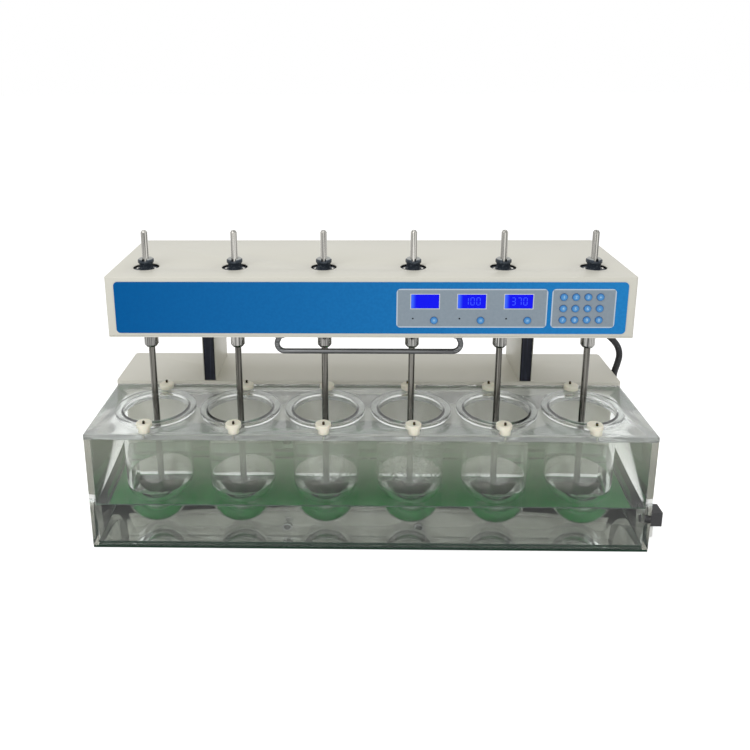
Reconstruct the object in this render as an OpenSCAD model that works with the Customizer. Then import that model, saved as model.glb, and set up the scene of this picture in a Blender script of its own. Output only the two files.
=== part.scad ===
// Six-station dissolution tester: a clear water bath with glass vessels, a base cabinet
// with two columns behind it, and a drive head that lifts on the columns.
// Millimetres. X runs along the row of vessels, Y runs back from the vessel line, Z is up from the bench.

/* [Bath] */
// Depth of the bath, over its walls
bath_d = 180; // [165:1:240]
// Height of the bath, with its cover
bath_h = 194; // [170:1:240]
// Thickness of the clear sheets
sheet_t = 8; // [5:0.5:12]
// Distance from the bath's front face to the vessel line
vessel_line = 84; // [82:1:100]
// Clear space from an end vessel's flange to the bath's end
end_gap = 26.5; // [15:0.5:60]
// Height of the drain fitting's underside
drain_z = 31; // [24:1:60]
// Width and height of the drain fitting's block
drain_block = 24; // [18:1:30]
// How far the drain fitting stands out from the bath
drain_reach = 26; // [20:1:40]
// Diameter of the drain spout
drain_spout_d = 12; // [8:0.5:16]

/* [Vessels] */
// Distance between vessel centres
vessel_pitch = 136; // [134:1:160]
// Bore of a vessel
vessel_id = 102; // [98:0.5:106]
// Glass wall of a vessel
vessel_wall = 2.5; // [1.5:0.1:4]
// Diameter of a vessel's flange
flange_d = 127; // [122:0.5:131]
// Thickness of a vessel's flange
flange_t = 6.4; // [4:0.1:9]
// Gap from a vessel's round bottom to the bath's floor
vessel_gap = 5; // [2:0.5:15]

/* [Vessel cams] */
// Diameter of a cam's disc
cam_d = 24; // [20:0.5:28]
// Height of a cam over the bath cover
cam_h = 13.5; // [11:0.5:16]
// How far the disc is off the cam's own axis
cam_throw = 4.7; // [3:0.1:6]
// Width of the cam's foot on the cover
cam_foot_w = 17; // [12:0.5:18]
// Diameter of the pin that a cam turns on
cam_pin_d = 5; // [4:0.5:6]

/* [Stirrers] */
// Diameter of a stirrer rod
rod_d = 10; // [8:0.5:12]
// Height of a rod's end over the head
rod_rise = 57; // [30:1:90]
// Width of a paddle at its top edge
paddle_w = 74.5; // [70:0.5:78]
// Width of a paddle at its bottom edge
paddle_foot_w = 42; // [36:0.5:48]
// Height of a paddle
paddle_h = 19; // [17:0.5:22]
// Thickness of a paddle
paddle_t = 4; // [2:0.5:6]
// Gap from a paddle to the inside of the vessel's bottom
paddle_gap = 25; // [18:0.5:32]

/* [Head] */
// Height of the head's underside over the bench
head_z = 340; // [310:1:380]
// Height of the head
head_h = 93; // [88:1:120]
// Distance from the vessel line to the head's front
head_front = 56; // [50:1:80]
// Distance from an end rod to the head's end
head_end = 48.5; // [40:0.5:80]
// Sheet thickness of the head's cover and floor
head_sheet = 2; // [1.5:0.1:3]
// Radius of the head's upright corners
head_corner = 5; // [3:0.5:9]
// Diameter of the holes in the head's top
top_hole_d = 39; // [38:0.5:44]

/* [Spindles and drive] */
// Diameter of a spindle in its bearings
spindle_d = 20; // [17:0.5:22]
// Diameter of a spindle's nose below the head
nose_d = 22; // [21:0.5:24]
// How far the nose hangs below the head
nose_drop = 36; // [20:1:45]
// Outer diameter of a bearing
bearing_d = 42; // [38:1:46]
// Width of a bearing
bearing_w = 12; // [9:0.5:13]
// Diameter of a spindle's belt tracks
pulley_d = 36; // [30:1:44]
// Diameter of the motor pulley's belt track
motor_pulley_d = 18; // [14:1:24]
// Width of a belt
belt_w = 8; // [6:0.5:9]
// Thickness of a belt
belt_t = 1.6; // [1:0.1:2.5]
// Width of the drive motor
motor_w = 60; // [50:1:70]
// Distance from the vessel line back to the motor's axis
motor_y = 92; // [80:1:100]
// Diameter of a chuck's collar
chuck_d = 24; // [20:0.5:28]
// Diameter of the disc under a chuck
chuck_disc_d = 36; // [32:0.5:37]
// Height of a chuck over the head
chuck_rise = 14; // [10:0.5:20]

/* [Front panel] */
// Height of the front panel
panel_h = 79; // [74:1:84]
// Cover left bare at each end of the panel
panel_margin = 14; // [10:0.5:30]
// Thickness of the panel
panel_t = 1.3; // [1:0.1:3]
// Radius of the panel's corners
panel_corner = 6; // [3:0.5:10]
// Height of the two raised fields
field_h = 59.5; // [57:0.5:66]
// How far a field is raised
field_rise = 0.5; // [0.2:0.1:1]
// Width of the display field
display_field_w = 219; // [195:1:240]
// Width of the keypad field
key_field_w = 92.5; // [78:0.5:110]
// Gap between the two fields
field_gap = 6; // [4:0.5:12]
// Panel left blue beside the keypad field
field_margin = 17; // [12:0.5:30]
// Width of a display
lcd_w = 40.5; // [36:0.5:50]
// Height of a display
lcd_h = 21; // [18:0.5:24]
// Distance between display centres
lcd_pitch = 68; // [62:0.5:72]
// Diameter of a key
key_d = 11; // [8:0.5:13]
// Distance between keys
key_pitch = 17.5; // [15:0.5:19]
// How far a key stands out of its field
key_rise = 1.5; // [1.2:0.1:3]
// How far a key can be pressed
key_travel = 0.8; // [0.4:0.1:1]

/* [Lift handle] */
// Width of the handle
handle_w = 284; // [120:1:400]
// Diameter of the handle's bar
handle_bar = 8; // [6:0.5:11]
// Drop from the head to the middle of the bar
handle_drop = 28; // [22:1:60]
// Distance of the handle behind the head's front
handle_inset = 16; // [12:1:30]
// Radius of the handle's bends, to the middle of the bar
handle_bend = 12; // [8:0.5:16]
// How far the handle's ends lean in, in degrees
handle_lean = 24; // [0:1:35]

/* [Base cabinet] */
// Depth of the cabinet
cabinet_d = 125; // [121:1:180]
// Height of the cabinet
cabinet_h = 199; // [170:1:230]
// How far the cabinet stands past the bath at each end
cabinet_lip = 4; // [0:0.5:20]
// Sheet thickness of the cabinet
cabinet_sheet = 2; // [1.2:0.1:3]
// Radius of the cabinet's upright corners
cabinet_corner = 5; // [4:0.5:9]
// Diameter of a rubber foot
foot_d = 30; // [20:1:40]
// Height of a rubber foot
foot_h = 10; // [6:1:16]

/* [Columns] */
// Distance between the columns
column_gap = 543; // [420:1:620]
// Width of a column
column_w = 22; // [20:0.5:30]
// Depth of a column's upright part
column_d = 60; // [55:1:64]
// Distance of the columns behind the cabinet's front
column_inset = 5; // [3:0.5:8]
// Depth of the gusset behind a column
gusset_d = 54; // [10:1:56]
// Height of the gusset's back edge
gusset_h = 40; // [10:1:80]
// Width of the dark cover strip
strip_w = 18.5; // [14:0.5:19]
// Thickness of the dark cover strip
strip_t = 1.5; // [1:0.1:2.5]
// Width of a lift post
post_w = 14; // [10:0.5:15]
// Depth of a lift post
post_d = 44; // [30:1:46]
// Room under a lift post, inside the cabinet
post_clear = 18; // [6:1:40]

/* [Conduit] */
// Outer diameter of the conduit
conduit_d = 11; // [8:0.5:11.5]

/* [Hidden] */
$fn = 72;
stations = 6;
key_columns = 4;
key_rows = 3;

// Clearances: a shaft in its hole (on the radius), pieces that pass each other, and loose holes.
running = 0.06;
pass = 0.3;
loose = 1;
cut = 1;

// Places that several pieces share.
row_half = (stations - 1) * vessel_pitch / 2;
function station_x(i) = (i - 1) * vessel_pitch - row_half;
bath_w = 2 * row_half + flange_d + 2 * end_gap;
bath_front = -vessel_line;
bath_back = bath_d - vessel_line;
vessel_od = vessel_id + 2 * vessel_wall;
vessel_bottom = sheet_t + vessel_gap;
vessel_round_z = vessel_bottom + vessel_od / 2;
rim_z = bath_h + flange_t;

cam_gap = 1;
cam_reach = flange_d / 2 + cam_foot_w / 2 + cam_gap;
cam_foot_h = flange_t + 0.4;
cam_rest = 100;
cam_chamfer = 1;
cam_slot = [8, 1.6, 1.2];

cabinet_w = bath_w + 2 * cabinet_lip;
cabinet_back = bath_back + cabinet_d;
base_top = foot_h + cabinet_sheet;
column_front = bath_back + column_inset;
column_back = column_front + column_d;
column_middle = (column_front + column_back) / 2;
column_top = head_z - pass;
post_h = head_z - base_top - post_clear;

head_w = 2 * row_half + 2 * head_end;
head_back = column_back + 4;
head_d = head_front + head_back;
head_top = head_z + head_h;
floor_top = head_z + head_sheet;

rod_top = head_top + rod_rise;
rod_tip = [2, 3];
paddle_z = vessel_bottom + vessel_wall + paddle_gap;
rod_bore = rod_d / 2 + running;

boss_wall = 4;
boss_h = 2 * bearing_w + 6;
track_pitch = belt_w + 4;
pulley_flange = 2;
pulley_z = floor_top + boss_h + 4;
chuck_z = head_top - 7;
chuck_disc_t = 4;
chuck_neck_d = 20;
chuck_collar_h = 9;
chuck_slot = [7, 4];
nose_cone = [3, 4];
motor_x = 0;
motor_h = pulley_z + 2 * track_pitch - floor_top - 4;
motor_shaft_d = 8;
motor_shaft_in = 12;

panel_w = head_w - 2 * panel_margin;
panel_z = head_z + head_h / 2;
field_face = -head_front - panel_t - field_rise;
key_field_x = panel_w / 2 - field_margin - key_field_w / 2;
display_field_x = key_field_x - key_field_w / 2 - field_gap - display_field_w / 2;
lcd_z = panel_z + 10.5;
lcd_t = 0.9;
lcd_size = [lcd_w, lcd_h];
function_key_z = panel_z - 18.5;
function_key_dx = 13.5;
keypad_shift = -3;
key_hole_d = key_d + 2 * pass;
key_stop = key_travel + 0.1;

port_d = 16;
port_z = sheet_t + 45;
port_x = [-140, 90];
heater_d = 70;
heater_l = 190;
pump_d = 56;
pump_l = 60;
heater_y = bath_back + cabinet_d / 2 + 14;
heater_z = base_top + heater_d / 2;

inlet_x = 330;
inlet_z = 70;
inlet_body = [28, 20];
inlet_flange = [50, 26];
vent_count = 9;
vent_x = 150;
vent_top = 40;
vent_w = 60;
vent_h = 4;
vent_step = 11;

gland_size = [18, 24];
gland_y = 64;
gland_z = 126;
gland_top = 160;

// Route of the conduit, from the head's floor to the socket on the cabinet's end. Each point gives
// how far it has gone towards that socket along X, Y and Z.
conduit_start = [head_w / 2 - 16.5, column_middle + 9, head_z];
conduit_end = [cabinet_w / 2 + gland_size.x / 2, bath_back + gland_y, gland_z + 14];
conduit_shares = [
    [0, 0, 0], [0.01, 0, 0.07], [0.11, 0.1, 0.165], [0.32, 0.35, 0.26], [0.6, 0.65, 0.345],
    [0.86, 0.85, 0.425], [1.04, 1, 0.505], [1.1, 1, 0.585], [1.07, 1, 0.665], [1.02, 1, 0.74],
    [1, 1, 0.82], [1, 1, 0.9], [1, 1, 1]
];
conduit_route = [for (share = conduit_shares) [
    mix(conduit_start.x, conduit_end.x, share.x),
    mix(conduit_start.y, conduit_end.y, share.y),
    mix(conduit_start.z, conduit_end.z, share.z)
]];
conduit_sides = 10;
conduit_steps = 3;

beige = "#D2CFC0";
steel = "#B9BBBD";
dark = "#33363B";
clear = [0.75, 0.85, 0.84, 0.45];

// A flat rectangle with round corners, centred on the origin.
module round_rect(size, r) {
    square([size.x - 2 * r, size.y], center = true);
    square([size.x, size.y - 2 * r], center = true);
    for (x = [-1, 1], y = [-1, 1])
        translate([x * (size.x / 2 - r), y * (size.y / 2 - r)]) circle(r);
}

// The same rectangle stood up in the plane of the front panel, its front face at y, t thick.
module panel_plate(x, z, y, size, r, t) {
    translate([x, y + t, z]) rotate([90, 0, 0]) linear_extrude(t) round_rect(size, r);
}

module at_stations() {
    for (i = [1:stations]) translate([station_x(i), 0, 0]) children();
}

// Outline of a belt round two pulleys of radius a and b whose centres are l apart along X.
module belt_outline(a, b, l) {
    lean = asin((a - b) / l);
    circle(a);
    translate([l, 0]) circle(b);
    polygon([
        [a * sin(lean), a * cos(lean)], [l + b * sin(lean), b * cos(lean)],
        [l + b * sin(lean), -b * cos(lean)], [a * sin(lean), -a * cos(lean)]
    ]);
}

module belt(a, b, l) {
    linear_extrude(belt_w) difference() {
        belt_outline(a + pass + belt_t, b + pass + belt_t, l);
        belt_outline(a + pass, b + pass, l);
    }
}

// Bottom of a belt on track 0, 1 or 2 of the spindle pulleys.
function track_z(track) =
    pulley_z + pulley_flange + track * track_pitch + (track_pitch - pulley_flange - belt_w) / 2;

// Bath

module bath_tank() {
    color(clear) difference() {
        translate([-bath_w / 2, bath_front, 0]) cube([bath_w, bath_d, bath_h - sheet_t]);
        translate([-bath_w / 2 + sheet_t, bath_front + sheet_t, sheet_t])
            cube([bath_w - 2 * sheet_t, bath_d - 2 * sheet_t, bath_h]);
        drain_stem(drain_spout_d + 2 * pass, cut);
        port_pipes(port_d + 2 * pass, cut);
    }
}

module bath_cover() {
    color(clear) difference() {
        translate([-bath_w / 2, bath_front, bath_h - sheet_t]) cube([bath_w, bath_d, sheet_t]);
        at_stations() translate([0, 0, bath_h - sheet_t - cut])
            cylinder(d = vessel_od + 2 * loose, h = sheet_t + 2 * cut);
        at_stations() for (side = [-1, 1])
            translate([0, side * cam_reach, bath_h - sheet_t - cut])
                cylinder(d = cam_pin_d + 2 * running, h = sheet_t + 2 * cut);
    }
}

module glass_vessel() {
    difference() {
        union() {
            translate([0, 0, vessel_round_z]) sphere(d = vessel_od);
            translate([0, 0, vessel_round_z]) cylinder(d = vessel_od, h = rim_z - vessel_round_z);
            translate([0, 0, bath_h]) cylinder(d = flange_d, h = flange_t);
        }
        translate([0, 0, vessel_round_z]) sphere(d = vessel_id);
        translate([0, 0, vessel_round_z]) cylinder(d = vessel_id, h = rim_z - vessel_round_z + cut);
    }
}

module glass_vessels() {
    color([0.85, 0.92, 0.92, 0.4]) at_stations() glass_vessel();
}

drain_y = bath_front + 20;

// The stem of the drain fitting, through the bath's right end, and how far it goes past both faces.
module drain_stem(d, past) {
    translate([bath_w / 2 - sheet_t - past, drain_y + drain_block / 2, drain_z + drain_block / 2])
        rotate([0, 90, 0]) cylinder(d = d, h = sheet_t + 2 * past);
}

module drain_fitting() {
    color(dark) {
        translate([bath_w / 2, drain_y, drain_z]) cube([drain_reach, drain_block, drain_block]);
        drain_stem(drain_spout_d, 1);
    }
    color("white") translate([bath_w / 2 + drain_spout_d, drain_y + drain_block / 2, drain_z / 4])
        cylinder(d = drain_spout_d, h = drain_z);
}

// A cam on its own axis, with the vessel in the +Y direction. Its foot stays outside the flange
// while the cam turns, and its off-centre disc holds the flange down or lets it go.
module vessel_cam() {
    disc_z = bath_h + cam_foot_h;
    disc_h = cam_h - cam_foot_h;
    color("ivory") difference() {
        union() {
            translate([0, 0, bath_h - sheet_t]) cylinder(d = cam_pin_d, h = sheet_t + cam_foot_h);
            translate([0, 0, bath_h]) cylinder(d = cam_foot_w, h = cam_foot_h + disc_h / 2);
            rotate(cam_rest) translate([cam_throw, 0, disc_z]) {
                cylinder(d = cam_d, h = disc_h - cam_chamfer);
                translate([0, 0, disc_h - cam_chamfer])
                    cylinder(d1 = cam_d, d2 = cam_d - 2 * cam_chamfer, h = cam_chamfer);
            }
        }
        translate([-cam_slot.x / 2, -cam_slot.y / 2, bath_h + cam_h - cam_slot.z])
            cube([cam_slot.x, cam_slot.y, cam_slot.z + cut]);
    }
}

module front_cam(i) {
    translate([station_x(i), -cam_reach, 0]) vessel_cam();
}

module rear_cam(i) {
    translate([station_x(i), cam_reach, 0]) rotate(180) vessel_cam();
}

// Base cabinet and columns

module cabinet_outline(inset) {
    translate([0, bath_back + cabinet_d / 2])
        round_rect([cabinet_w - 2 * inset, cabinet_d - 2 * inset], cabinet_corner - inset);
}

module base_cabinet() {
    color(beige) {
        difference() {
            translate([0, 0, base_top]) linear_extrude(cabinet_h - base_top) cabinet_outline(0);
            translate([0, 0, base_top - cut])
                linear_extrude(cabinet_h - cabinet_sheet - base_top + cut) cabinet_outline(cabinet_sheet);
            for (side = [-1, 1])
                translate([side * column_gap / 2, column_middle, cabinet_h])
                    cube([post_w + 2 * loose, post_d + 2 * loose, 4 * cabinet_sheet], center = true);
            port_pipes(port_d + 2 * pass, cut);
            translate([inlet_x, cabinet_back, inlet_z])
                cube([inlet_body.x + 2 * pass, 8 * cabinet_sheet, inlet_body.y + 2 * pass], center = true);
            for (k = [0:vent_count - 1], side = [-1, 1])
                translate([side * vent_x, cabinet_back, cabinet_h - vent_top - k * vent_step])
                    cube([vent_w, 4 * cabinet_sheet, vent_h], center = true);
        }
        conduit_gland();
    }
}

// Upright socket on the cabinet's right end that the conduit runs down into.
module conduit_gland() {
    difference() {
        translate([cabinet_w / 2 - cabinet_sheet / 2, conduit_end.y - gland_size.y / 2, gland_z])
            cube([gland_size.x + cabinet_sheet / 2, gland_size.y, gland_top - gland_z]);
        translate(conduit_end - [0, 0, pass]) cylinder(d = conduit_d + 2 * pass, h = gland_top);
    }
}

function foot_y(side) = bath_back + cabinet_d / 2 + side * (cabinet_d / 2 - foot_d);

module cabinet_base() {
    color(beige) translate([0, 0, foot_h]) linear_extrude(cabinet_sheet) cabinet_outline(0);
    color("#222222") for (x = [-1, 1], y = [-1, 1])
        translate([x * (cabinet_w / 2 - foot_d), foot_y(y), 0])
            cylinder(d = foot_d, h = foot_h + cabinet_sheet / 2);
}

module column() {
    difference() {
        translate([-column_w / 2, 0, 0]) rotate([90, 0, 90]) linear_extrude(column_w) polygon([
            [column_front, cabinet_h],
            [column_back + gusset_d, cabinet_h], [column_back + gusset_d, cabinet_h + gusset_h],
            [column_back, column_top], [column_front, column_top]
        ]);
        translate([-post_w / 2 - pass, column_middle - post_d / 2 - pass, cabinet_h - cut])
            cube([post_w + 2 * pass, post_d + 2 * pass, column_top]);
        translate([-strip_w / 2 - pass, column_front - cut, cabinet_h - cut])
            cube([strip_w + 2 * pass, strip_t + cut, column_top]);
    }
}

module columns() {
    color(beige) for (side = [-1, 1]) translate([side * column_gap / 2, 0, 0]) column();
}

module column_strips() {
    color("#20222E") for (side = [-1, 1])
        translate([side * column_gap / 2 - strip_w / 2, column_front, cabinet_h])
            cube([strip_w, strip_t, column_top - cabinet_h]);
}

// The two pipes between the heater and the bath, of length l behind the bath's inner face.
// Past is how far they reach into the bath.
module port_pipes(d, past, l = heater_y - bath_back + sheet_t) {
    for (x = port_x) translate([x, bath_back - sheet_t - past, port_z]) rotate([-90, 0, 0])
        cylinder(d = d, h = l + past);
}

module circulation_heater() {
    left = port_x[0] - 40;
    right = port_x[1] + pump_l / 2;
    color(steel) difference() {
        union() {
            translate([left, heater_y, heater_z]) rotate([0, 90, 0]) cylinder(d = heater_d, h = heater_l);
            translate([left + heater_l, heater_y, heater_z]) rotate([0, 90, 0])
                cylinder(d = pump_d, h = right - left - heater_l);
            port_pipes(port_d, 0);
        }
        port_pipes(port_d - 4, cut, 2 * port_d);
    }
}

module mains_inlet() {
    color(dark) translate([inlet_x, cabinet_back, inlet_z]) difference() {
        union() {
            translate([-inlet_body.x / 2, -20, -inlet_body.y / 2])
                cube([inlet_body.x, 22, inlet_body.y]);
            translate([0, 3, 0]) rotate([90, 0, 0]) linear_extrude(3) round_rect(inlet_flange, 3);
        }
        translate([-inlet_body.x / 2 + 2, -14, -inlet_body.y / 2 + 2])
            cube([inlet_body.x - 4, 22, inlet_body.y - 4]);
    }
}

// Conduit

function mix(a, b, t) = a + (b - a) * t;
// A point on the smooth curve through the route, between points k and k + 1.
function route_at(k, t) =
    let (n = len(conduit_route) - 1,
         p0 = conduit_route[max(k - 1, 0)], p1 = conduit_route[k], p2 = conduit_route[k + 1],
         p3 = conduit_route[min(k + 2, n)])
    0.5 * (2 * p1 + (p2 - p0) * t
        + (2 * p0 - 5 * p1 + 4 * p2 - p3) * t * t
        + (3 * p1 - p0 - 3 * p2 + p3) * t * t * t);
conduit_points = concat(
    [for (k = [0:len(conduit_route) - 2], s = [0:conduit_steps - 1]) route_at(k, s / conduit_steps)],
    [conduit_route[len(conduit_route) - 1]]
);
// Direction of the conduit at each ring; both ends run straight up and down.
function conduit_way(k) =
    k == 0 || k == len(conduit_points) - 1 ? [0, 0, -1]
    : let (d = conduit_points[k + 1] - conduit_points[k - 1]) d / norm(d);
function conduit_ring(k) =
    let (way = conduit_way(k), side = cross(way, [0, 1, 0]),
         across = side / norm(side), up = cross(across, way))
    [for (s = [0:conduit_sides - 1])
        let (turn = 360 * s / conduit_sides)
        conduit_points[k] + conduit_d / 2 * (across * cos(turn) + up * sin(turn))];

module cable_conduit() {
    n = conduit_sides;
    rings = len(conduit_points);
    color("#1B1B1E") polyhedron(
        points = [for (k = [0:rings - 1]) each conduit_ring(k)],
        faces = concat(
            [[for (s = [0:n - 1]) s]],
            [for (k = [0:rings - 2], s = [0:n - 1])
                [k * n + s, (k + 1) * n + s, (k + 1) * n + (s + 1) % n]],
            [for (k = [0:rings - 2], s = [0:n - 1])
                [k * n + s, (k + 1) * n + (s + 1) % n, k * n + (s + 1) % n]],
            [[for (s = [n - 1:-1:0]) (rings - 1) * n + s]]
        )
    );
}

// Head

module head_outline(inset) {
    translate([0, head_back - head_d / 2])
        round_rect([head_w - 2 * inset, head_d - 2 * inset], head_corner - inset);
}

module head_cover() {
    color(beige) difference() {
        translate([0, 0, floor_top]) linear_extrude(head_top - floor_top) head_outline(0);
        translate([0, 0, floor_top - cut])
            linear_extrude(head_top - head_sheet - floor_top + cut) head_outline(head_sheet);
        at_stations() translate([0, 0, head_top - head_sheet - cut])
            cylinder(d = top_hole_d, h = head_sheet + 2 * cut);
    }
}

module head_floor() {
    collar_d = conduit_d + 10;
    collar_h = 8;
    color(beige) difference() {
        union() {
            translate([0, 0, head_z]) linear_extrude(head_sheet) head_outline(0);
            at_stations() translate([0, 0, head_z])
                cylinder(d = bearing_d + 2 * boss_wall, h = head_sheet + boss_h);
            translate([conduit_start.x, conduit_start.y, head_z - collar_h])
                cylinder(d = collar_d, h = collar_h + head_sheet / 2);
        }
        at_stations() translate([0, 0, floor_top])
            cylinder(d = bearing_d + 2 * running, h = boss_h + cut);
        at_stations() translate([0, 0, head_z - cut])
            cylinder(d = nose_d + 2 * loose, h = head_sheet + 2 * cut);
        translate([conduit_start.x, conduit_start.y, head_z - collar_h - cut])
            cylinder(d = conduit_d + 2 * loose, h = collar_h + cut);
    }
}

module lift_posts() {
    color(steel) for (side = [-1, 1])
        translate([side * column_gap / 2 - post_w / 2, column_middle - post_d / 2, head_z - post_h])
            cube([post_w, post_d, post_h]);
}

// A bent bar: it runs across, turns up in two bends and leans in towards a round plate under the head.
// Each leg is a sleeve a hair wider than the bar, over the end of its bend.
module lift_handle() {
    plate_t = 5;
    sleeve = 0.2;
    sleeve_lap = 0.5;
    bar_z = head_z - handle_drop;
    bend_x = handle_w / 2 - handle_bar / 2 - handle_bend;
    leg_x = bend_x + handle_bend * cos(handle_lean);
    leg_z = bar_z + handle_bend + handle_bend * sin(handle_lean);
    leg_rise = head_z - plate_t / 2 - leg_z;
    color("#D8DADC") translate([0, handle_inset - head_front, 0]) {
        translate([-bend_x, 0, bar_z]) rotate([0, 90, 0]) cylinder(d = handle_bar, h = 2 * bend_x);
        for (side = [0, 1]) mirror([side, 0, 0]) {
            translate([bend_x, 0, bar_z + handle_bend]) rotate([90, 0, 0]) rotate(-90)
                rotate_extrude(angle = 90 + handle_lean)
                    translate([handle_bend, 0]) circle(d = handle_bar);
            translate([leg_x, 0, leg_z]) rotate([0, -handle_lean, 0]) translate([0, 0, -sleeve_lap])
                cylinder(d = handle_bar + sleeve, h = leg_rise / cos(handle_lean) + sleeve_lap);
            translate([leg_x - leg_rise * tan(handle_lean), 0, head_z - plate_t])
                cylinder(d = 2 * handle_bar, h = plate_t);
        }
    }
}

// One raised grey field of the panel.
module panel_field(x, w) {
    panel_plate(x, panel_z, field_face, [w, field_h], panel_corner, field_rise + panel_t);
}

module front_panel() {
    color("#1763AE") difference() {
        union() {
            panel_plate(0, panel_z, -head_front - panel_t, [panel_w, panel_h], panel_corner, panel_t);
            panel_field(display_field_x, display_field_w);
            panel_field(key_field_x, key_field_w);
        }
        for (k = [-1:1])
            panel_plate(lcd_x(k), lcd_z, field_face - cut, lcd_size + [pass, pass] * 2, 1, panel_t * 4);
        for (k = [1:3])
            key_cylinder(function_key_place(k), key_hole_d, field_face - cut, -head_front + cut);
        for (k = [1:key_columns * key_rows])
            key_cylinder(keypad_place(k), key_hole_d, field_face - cut, -head_front + cut);
    }
}

function lcd_x(k) = display_field_x + k * lcd_pitch;
function function_key_place(k) = [lcd_x(k - 2) + function_key_dx, function_key_z];
function keypad_place(k) = [
    key_field_x + keypad_shift + ((k - 1) % key_columns - (key_columns - 1) / 2) * key_pitch,
    panel_z + ((key_rows - 1) / 2 - floor((k - 1) / key_columns)) * key_pitch
];

module key_cylinder(place, d, y0, y1) {
    translate([place.x, y1, place.y]) rotate([90, 0, 0]) cylinder(d = d, h = y1 - y0);
}

// A key with a chamfered front, turned about its own axis.
module key(place) {
    edge = 0.6;
    r = key_d / 2;
    back = -head_front - key_stop;
    h = back - field_face + key_rise;
    color("#3F86C6") translate([place.x, back, place.y]) rotate([90, 0, 0])
        rotate_extrude() polygon([[0, 0], [r, 0], [r, h - edge], [r - edge, h], [0, h]]);
}

module displays() {
    color("#1010F0") for (k = [-1:1])
        panel_plate(lcd_x(k), lcd_z, -head_front - lcd_t, lcd_size, 0.7, lcd_t);
}

// Drive

module drive_motor() {
    neck_d = motor_shaft_d + 14;
    neck_h = 3;
    color("#4A4C50") difference() {
        union() {
            translate([motor_x, motor_y, floor_top])
                linear_extrude(motor_h - neck_h) round_rect([motor_w, motor_w], 6);
            translate([motor_x, motor_y, floor_top]) cylinder(d = neck_d, h = motor_h);
        }
        translate([motor_x, motor_y, floor_top + motor_h - motor_shaft_in - loose])
            cylinder(d = motor_shaft_d + 2 * running, h = motor_shaft_in + 2 * loose);
    }
}

module motor_pulley() {
    rim_d = motor_pulley_d + 8;
    pulley_bottom = track_z(2) - pulley_flange - pass;
    shaft_bottom = floor_top + motor_h - motor_shaft_in;
    color(steel) translate([motor_x, motor_y, 0]) {
        translate([0, 0, shaft_bottom])
            cylinder(d = motor_shaft_d, h = pulley_bottom + pulley_flange - shaft_bottom);
        translate([0, 0, pulley_bottom]) cylinder(d = rim_d, h = pulley_flange);
        translate([0, 0, pulley_bottom])
            cylinder(d = motor_pulley_d, h = belt_w + 2 * pulley_flange + 2 * pass);
        translate([0, 0, track_z(2) + belt_w + pass]) cylinder(d = rim_d, h = pulley_flange);
    }
}

module drive_belts() {
    motor_away = norm([motor_x - station_x(3), motor_y]);
    motor_way = atan2(motor_y, motor_x - station_x(3));
    color("#1E1E1E") {
        for (i = [1:stations - 1]) translate([station_x(i), 0, track_z((i - 1) % 2)])
            belt(pulley_d / 2, pulley_d / 2, vessel_pitch);
        translate([station_x(3), 0, track_z(2)]) rotate(motor_way)
            belt(pulley_d / 2, motor_pulley_d / 2, motor_away);
    }
}

module spindle_bearings() {
    color("#C9CBCE") at_stations() for (z = [0, boss_h - bearing_w])
        translate([0, 0, floor_top + z]) difference() {
            cylinder(d = bearing_d, h = bearing_w);
            translate([0, 0, -cut]) cylinder(d = spindle_d + 2 * running, h = bearing_w + 2 * cut);
        }
}

// Hollow spindle with its three belt tracks, turned in one piece. It runs up into the chuck's disc.
module spindle_shaft() {
    nose_r = nose_d / 2;
    shaft_r = spindle_d / 2;
    track_r = pulley_d / 2;
    flange_r = track_r + belt_t + pass + 0.8;
    nose_z = head_z - nose_drop;
    nose_top = floor_top - pass;
    rotate_extrude() polygon(concat(
        [[rod_bore, nose_z], [nose_r - nose_cone.x, nose_z], [nose_r, nose_z + nose_cone.y]],
        [[nose_r, nose_top], [shaft_r, nose_top]],
        [for (k = [0:3]) let (z = pulley_z + k * track_pitch) each [
            [k == 0 ? shaft_r : track_r, z], [flange_r, z],
            [flange_r, z + pulley_flange], [k == 3 ? shaft_r : track_r, z + pulley_flange]
        ]],
        [[shaft_r, chuck_z + chuck_disc_t / 2], [rod_bore, chuck_z + chuck_disc_t / 2]]
    ));
}

// Chuck that clamps the rod: a disc, a waist and a tapered collar that is slotted from front to back.
module chuck() {
    top = head_top + chuck_rise;
    edge = 2.5;
    taper = 3;
    difference() {
        rotate_extrude() polygon([
            [rod_bore, chuck_z], [chuck_disc_d / 2, chuck_z], [chuck_disc_d / 2, chuck_z + chuck_disc_t],
            [chuck_neck_d / 2, chuck_z + chuck_disc_t], [chuck_neck_d / 2, top - chuck_collar_h],
            [chuck_d / 2, top - chuck_collar_h + taper], [chuck_d / 2, top - edge], [chuck_d / 2 - edge, top],
            [rod_bore, top]
        ]);
        translate([-chuck_slot.x / 2, -chuck_d, top - chuck_slot.y])
            cube([chuck_slot.x, 2 * chuck_d, chuck_slot.y + cut]);
    }
}

module spindle(i) {
    translate([station_x(i), 0, 0]) {
        color(steel) spindle_shaft();
        color(dark) chuck();
    }
}

// Flat paddle whose ends are arcs of one circle.
module paddle() {
    rise = (pow(paddle_w / 2, 2) - pow(paddle_foot_w / 2, 2) - pow(paddle_h, 2)) / (2 * paddle_h);
    r = norm([paddle_w / 2, rise]);
    translate([0, paddle_t / 2, paddle_z]) rotate([90, 0, 0]) linear_extrude(paddle_t) intersection() {
        translate([0, paddle_h + rise]) circle(r);
        translate([-paddle_w, 0]) square([2 * paddle_w, paddle_h]);
    }
}

module stirrer(i) {
    color(steel) translate([station_x(i), 0, 0]) {
        paddle();
        translate([0, 0, paddle_z]) cylinder(d = rod_d, h = rod_top - rod_tip.y - paddle_z);
        translate([0, 0, rod_top - rod_tip.y])
            cylinder(d1 = rod_d, d2 = rod_d - 2 * rod_tip.x, h = rod_tip.y);
    }
}

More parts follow.
